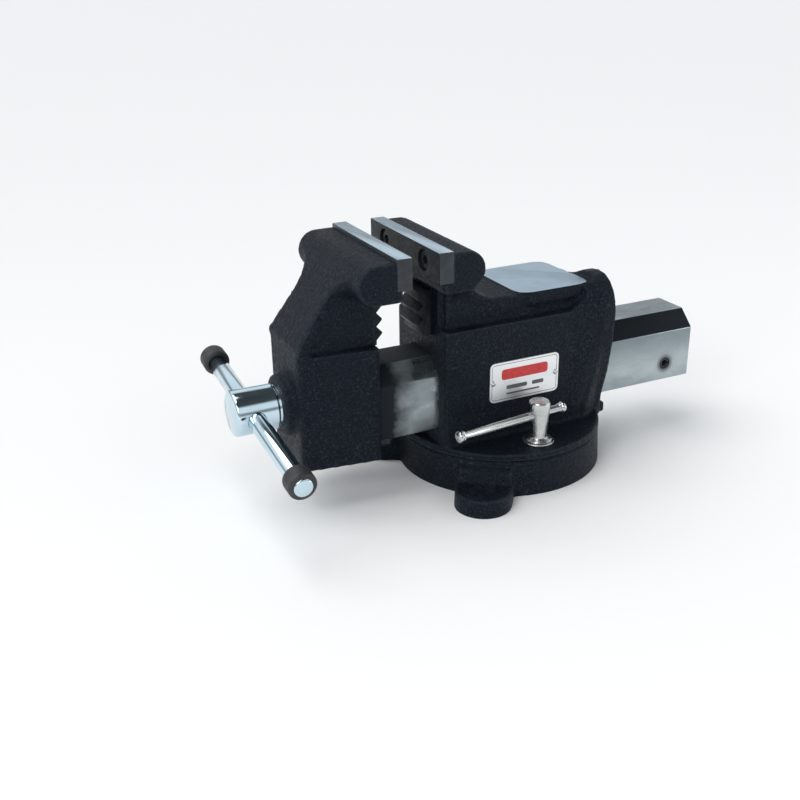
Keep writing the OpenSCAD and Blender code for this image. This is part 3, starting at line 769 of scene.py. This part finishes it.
spindle_low, spindle_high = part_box("spindle")
head_front, spindle_end = spindle_low[0], spindle_high[0]
head_radius, head_length, screw_radius, core_radius = 0.015, 0.028, 0.009, 0.0066
handle_hole_radius = 0.0062
along_x = Matrix.Translation((head_front, 0, spindle_z)) @ Matrix.Rotation(pi / 2, 4, "Y")
length = spindle_end - head_front
thread_start, pitch = 0.062, 0.005
shaft, cross_hole = bmesh.new(), bmesh.new()
shaft_head = [(0, 0), (head_radius - 0.0016, 0), (head_radius - 0.0008, 0.0003),
              (head_radius - 0.0002, 0.0009), (head_radius, 0.0017), (head_radius, head_length - 0.0012),
              (head_radius - 0.0006, head_length - 0.0003), (head_radius - 0.0014, head_length)]
shaft_screw = [(screw_radius, head_length), (screw_radius, thread_start), (core_radius, thread_start + 0.003),
               (core_radius, length - 0.001), (core_radius - 0.001, length), (0, length)]
turned(shaft, shaft_head + shaft_screw, along_x, sides=96)
handle_low, handle_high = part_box("handle_bar")
handle_x = (handle_low[0] + handle_high[0]) / 2
handle_tilt = radians(7)
tilt = Matrix.Rotation(handle_tilt, 4, "X")
across = Matrix.Translation((handle_x, 0, spindle_z)) @ tilt @ Matrix.Rotation(-pi / 2, 4, "X")
rod(cross_hole, across @ Vector((0, 0, -0.02)), across @ Vector((0, 0, 0.02)), handle_hole_radius)
spindle = machine(keep("spindle_shaft_rough", shaft, [chrome]), [cross_hole], [chrome])
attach(spindle, "screw")
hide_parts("spindle")

ridge = bmesh.new()
half_root, half_crest = 0.0018, 0.0009
turns = int((length - thread_start - 0.009) / pitch)
start = [ridge.verts.new((radius, 0, thread_start + 0.004 + offset)) for radius, offset in
         ((core_radius - 0.0004, -half_root), (screw_radius, -half_crest), (screw_radius, half_crest),
          (core_radius - 0.0004, half_root))]
cap = ridge.faces.new(start)
bmesh.ops.spin(ridge, geom=[cap] + list(cap.edges) + list(cap.verts), cent=(0, 0, 0), axis=(0, 0, 1),
               dvec=(0, 0, pitch / 24), angle=2 * pi * turns, steps=24 * turns)
bmesh.ops.recalc_face_normals(ridge, faces=ridge.faces[:])
bmesh.ops.transform(ridge, matrix=along_x, verts=ridge.verts[:])
thread = keep("spindle_thread", ridge, [chrome])
shade_round(thread, 30)
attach(thread, "screw")

# ---------------------------------------------------------------------------------------------
# Handle. A plain chromed bar that slides through the spindle's head, with a moulded rubber
# ring pressed on each end so that it can't fall out.

bar_length = 0.175
shift = -0.0064
bar_end = bar_length / 2
stick = bmesh.new()
end_curve = [(0, 0), (0.0049, 0), (0.0056, 0.0003), (0.006, 0.001)]
turned(stick, [(r, shift - bar_end + z) for r, z in end_curve]
       + [(r, shift + bar_end - z) for r, z in reversed(end_curve)], across)
handle = keep("handle_stick", stick, [chrome])
shade_round(handle, 45)
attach(handle, "tommy_bar")
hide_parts("handle_bar")

rubber, tree, surface = shader("black rubber", (0.018, 0.018, 0.02), 0.55)
vary(tree, surface, "Base Color", noise(tree, 180, 5),
     [(0.3, (0.012, 0.012, 0.014)), (0.75, (0.032, 0.032, 0.035))])
vary(tree, surface, "Roughness", noise(tree, 320, 4), [(0.3, 0.42), (0.7, 0.66)])
bump(tree, surface, noise(tree, 700, 4), 0.25, 0.0003)

for name, side in (("handle_ring_near", -1), ("handle_ring_far", 1)):
    outer = side * (bar_end - 0.001) + shift
    ring = [(0.00602, 0), (0.0066, 0), (0.0070, 0.0003), (0.0078, 0.0004)]
    angles = [radians(a) for a in range(15, 91, 15)]
    ring += [(0.0076 + 0.0013 * sin(a), 0.0017 - 0.0013 * cos(a)) for a in angles]
    ring += [(0.009, 0.0102)]
    ring += [(0.0070 + 0.0020 * cos(a), 0.0102 + 0.0022 * sin(a)) for a in angles]
    ring += [(0.0064, 0.0125), (0.00602, 0.0122)]
    grip_ring = bmesh.new()
    turned(grip_ring, [(radius, outer - side * along) for radius, along in ring], across, closed=True)
    handle_ring = keep(name + "_rubber", grip_ring, [rubber])
    shade_round(handle_ring, 50)
    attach(handle_ring, "tommy_bar")
    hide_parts(name)

# ---------------------------------------------------------------------------------------------
# Swivel locks. A satin nickel screw with a tall post stands on a washer at each side of the
# swivel plate, and a thin bar with a knob on each end slides through it.

nickel, tree, surface = shader("satin nickel", (0.62, 0.61, 0.58), 0.26, metallic=1.0)
vary(tree, surface, "Roughness", noise(tree, 150, 6), [(0.3, 0.17), (0.75, 0.36)])
vary(tree, surface, "Base Color", noise(tree, 70, 6),
     [(0.3, (0.66, 0.68, 0.67)), (0.75, (0.46, 0.48, 0.47))])
bump(tree, surface, noise(tree, 500, 4), 0.15, 0.0002)

lock_bar_z = 0.050
bar_hole_radius = 0.003
for side_name, side in (("near", -1), ("far", 1)):
    x, y = lock_spots[0][0], side * lock_spots[1][1]
    stand = Matrix.Translation((x, y, 0))
    post, bar_hole = bmesh.new(), bmesh.new()
    turned(post, [(0, 0.0061), (0.0043, 0.0061), (0.005, 0.0068), (0.005, 0.0316), (0.0086, 0.0316),
                  (0.0092, 0.0320), (0.0092, 0.0324), (0.0085, 0.0330), (0.0068, 0.0334), (0.0059, 0.0342),
                  (0.0057, 0.0356), (0.0061, 0.042), (0.0069, 0.051), (0.0072, 0.0578), (0.0069, 0.0589),
                  (0.0062, 0.0595), (0, 0.0595)], stand)
    swing = Matrix.Rotation(-side * radians(6.5), 4, "Z")
    lean = Matrix.Translation((x, y, lock_bar_z)) @ swing @ Matrix.Rotation(pi / 2, 4, "Y")
    rod(bar_hole, lean @ Vector((0, 0, -0.012)), lean @ Vector((0, 0, 0.012)), bar_hole_radius,
        sides=32)
    lock_screw = machine(keep(f"lock_post_{side_name}_rough", post, [nickel]), [bar_hole], [nickel])
    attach(lock_screw, f"{side_name}_lock")
    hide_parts(f"lock_screw_{side_name}")

    washer = bmesh.new()
    turned(washer, [(0.00505, 0.0303), (0.0106, 0.0303), (0.0108, 0.0305), (0.0108, 0.0311), (0.0105, 0.0315),
                    (0.00505, 0.0315)], stand, closed=True)
    lock_washer = keep(f"lock_washer_{side_name}_ring", washer, [nickel])
    shade_round(lock_washer, 30)
    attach(lock_washer, f"{side_name}_lock")
    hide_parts(f"lock_washer_{side_name}")

    half, slid = 0.044, -0.0225
    knob = [(0, 0), (0.0020, 0), (0.0032, 0.0004), (0.0039, 0.0012), (0.0040, 0.0023), (0.0037, 0.0032),
            (0.0029, 0.0038), (0.0030, 0.0043), (0.0033, 0.0046), (0.0031, 0.0051), (0.0028, 0.0056)]
    thin = bmesh.new()
    turned(thin, [(r, slid - half + a) for r, a in knob] + [(r, slid + half - a) for r, a in reversed(knob)],
           lean, sides=40)
    lock_bar = keep(f"lock_bar_{side_name}_rod", thin, [nickel])
    shade_round(lock_bar, 60)
    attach(lock_bar, f"{side_name}_lock_handle")
    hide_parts(f"lock_bar_{side_name}")

# ---------------------------------------------------------------------------------------------
# Rating plate. A stamped sheet of satin aluminium, printed with a fine border, a plain red band
# and blank grey fields, and held to the near side by two small round-headed rivets.

satin, tree, surface = shader("satin aluminium", (0.82, 0.83, 0.84), 0.34, metallic=0.85)
vary(tree, surface, "Base Color", noise(tree, 60, 5, stretch=(0.1, 1, 1)),
     [(0.3, (0.86, 0.87, 0.88)), (0.75, (0.74, 0.75, 0.77))])
vary(tree, surface, "Roughness", noise(tree, 400, 4, stretch=(0.05, 1, 1)),
     [(0.3, 0.28), (0.7, 0.42)])
bump(tree, surface, noise(tree, 900, 3, stretch=(0.04, 1, 1)), 0.2, 0.0001)
print_grey, tree, surface = shader("printed fields", (0.12, 0.13, 0.15), 0.45)
vary(tree, surface, "Base Color", noise(tree, 300, 4),
     [(0.3, (0.05, 0.055, 0.06)), (0.7, (0.11, 0.12, 0.13))])
print_red, tree, surface = shader("printed band", (0.6, 0.03, 0.03), 0.4)
vary(tree, surface, "Base Color", noise(tree, 300, 4),
     [(0.3, (0.62, 0.035, 0.035)), (0.7, (0.45, 0.02, 0.022))])

label_low, label_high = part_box("rating_plate")
label_x, label_z = (label_low[0] + label_high[0]) / 2, (label_low[2] + label_high[2]) / 2
half_long, half_tall = (label_high[0] - label_low[0]) / 2, (label_high[2] - label_low[2]) / 2
face_y = label_low[1]
whole = rectangle(label_x - half_long, label_x + half_long, label_z - half_tall, label_z + half_tall)
corners = rounded(whole, 0.004, steps=6)
sheet = bmesh.new()
slab(sheet, corners, "y", face_y, label_high[1])
front = min(sheet.faces, key=lambda f: f.calc_center_median().y)
bmesh.ops.inset_region(sheet, faces=[front], thickness=0.0004, depth=0)
bmesh.ops.translate(sheet, verts=front.verts[:], vec=(0, -0.00002, 0))
bmesh.ops.inset_region(sheet, faces=[front], thickness=0.0009, depth=0)
border = bmesh.ops.inset_region(sheet, faces=[front], thickness=0.0004, depth=0)["faces"]
for strip in border:
    strip.material_index = 1
for x, z, wide, tall, ink in ((0.0, 0.005, 0.036, 0.0075, 2), (-0.006, -0.0045, 0.016, 0.0028, 1),
                              (0.0105, -0.0045, 0.009, 0.0028, 1), (-0.001, -0.009, 0.026, 0.0012, 1)):
    field = rectangle(label_x + x - wide / 2, label_x + x + wide / 2,
                      label_z + z - tall / 2, label_z + z + tall / 2)
    slab(sheet, rounded(field, tall * 0.3, steps=3), "y", face_y - 0.00006, face_y + 0.0002, skin=ink)
rating_plate = keep("rating_sheet", sheet, [satin, print_grey, print_red])
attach(rating_plate, "turntable")
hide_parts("rating_plate")

rivet_reach = 0.0243
heads = bmesh.new()
for x in (-rivet_reach, rivet_reach):
    out = Matrix.Translation((label_x + x, face_y, label_z)) @ Matrix.Rotation(pi / 2, 4, "X")
    dome = [(0.0019 * cos(radians(a)), 0.0009 * sin(radians(a)) + 0.0001) for a in range(0, 90, 15)]
    shank = [(0, -0.004), (0.0012, -0.004), (0.0012, -0.0004), (0.0019, -0.0001)]
    turned(heads, shank + dome + [(0, 0.001)], out, sides=32)
rivets = keep("rating_rivets", heads, [nickel])
rivets.data.shade_smooth()
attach(rivets, "turntable")
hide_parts("plate_rivets")

# ---------------------------------------------------------------------------------------------
# Inner pieces. The stop pin is a slotted spring pin, and the nut, collar, bolts and slot nuts keep
# their exact machined shapes with real metal finishes.

bronze, tree, surface = shader("cast bronze", (0.5, 0.33, 0.14), 0.38, metallic=1.0)
vary(tree, surface, "Base Color", noise(tree, 90, 6),
     [(0.3, (0.56, 0.38, 0.17)), (0.75, (0.34, 0.21, 0.09))])
vary(tree, surface, "Roughness", noise(tree, 200, 5), [(0.3, 0.28), (0.7, 0.5)])
bump(tree, surface, noise(tree, 420, 5), 0.25, 0.0003)

pin, slit = bmesh.new(), bmesh.new()
pin_half = (pin_high[1] - pin_low[1]) / 2
turned(pin, [(0.0026, -pin_half), (0.0034, -pin_half), (0.00398, 0.0012 - pin_half),
             (0.00398, pin_half - 0.0012), (0.0034, pin_half), (0.0026, pin_half)],
       Matrix.Translation((pin_x, 0, pin_z)) @ Matrix.Rotation(pi / 2, 4, "X"), closed=True, sides=48)
slab(slit, rectangle(pin_x, pin_x + 0.006, pin_z - 0.0006, pin_z + 0.0006), "y", -0.04, 0.04)
stop_pin = machine(keep("slide_spring_pin_rough", pin, [blackened]), [slit], [blackened])
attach(stop_pin, "carriage")
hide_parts("slide_stop_pin")

for name, finish in (("spindle_nut", bronze), ("thrust_washer", chrome), ("spindle_collar", blackened),
                     ("collar_pin", bright_iron), ("pivot_pin", bright_iron), ("nut_bolt", blackened),
                     ("slot_nut_near", blackened), ("slot_nut_far", blackened)):
    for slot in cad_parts[name].material_slots:
        slot.material = finish
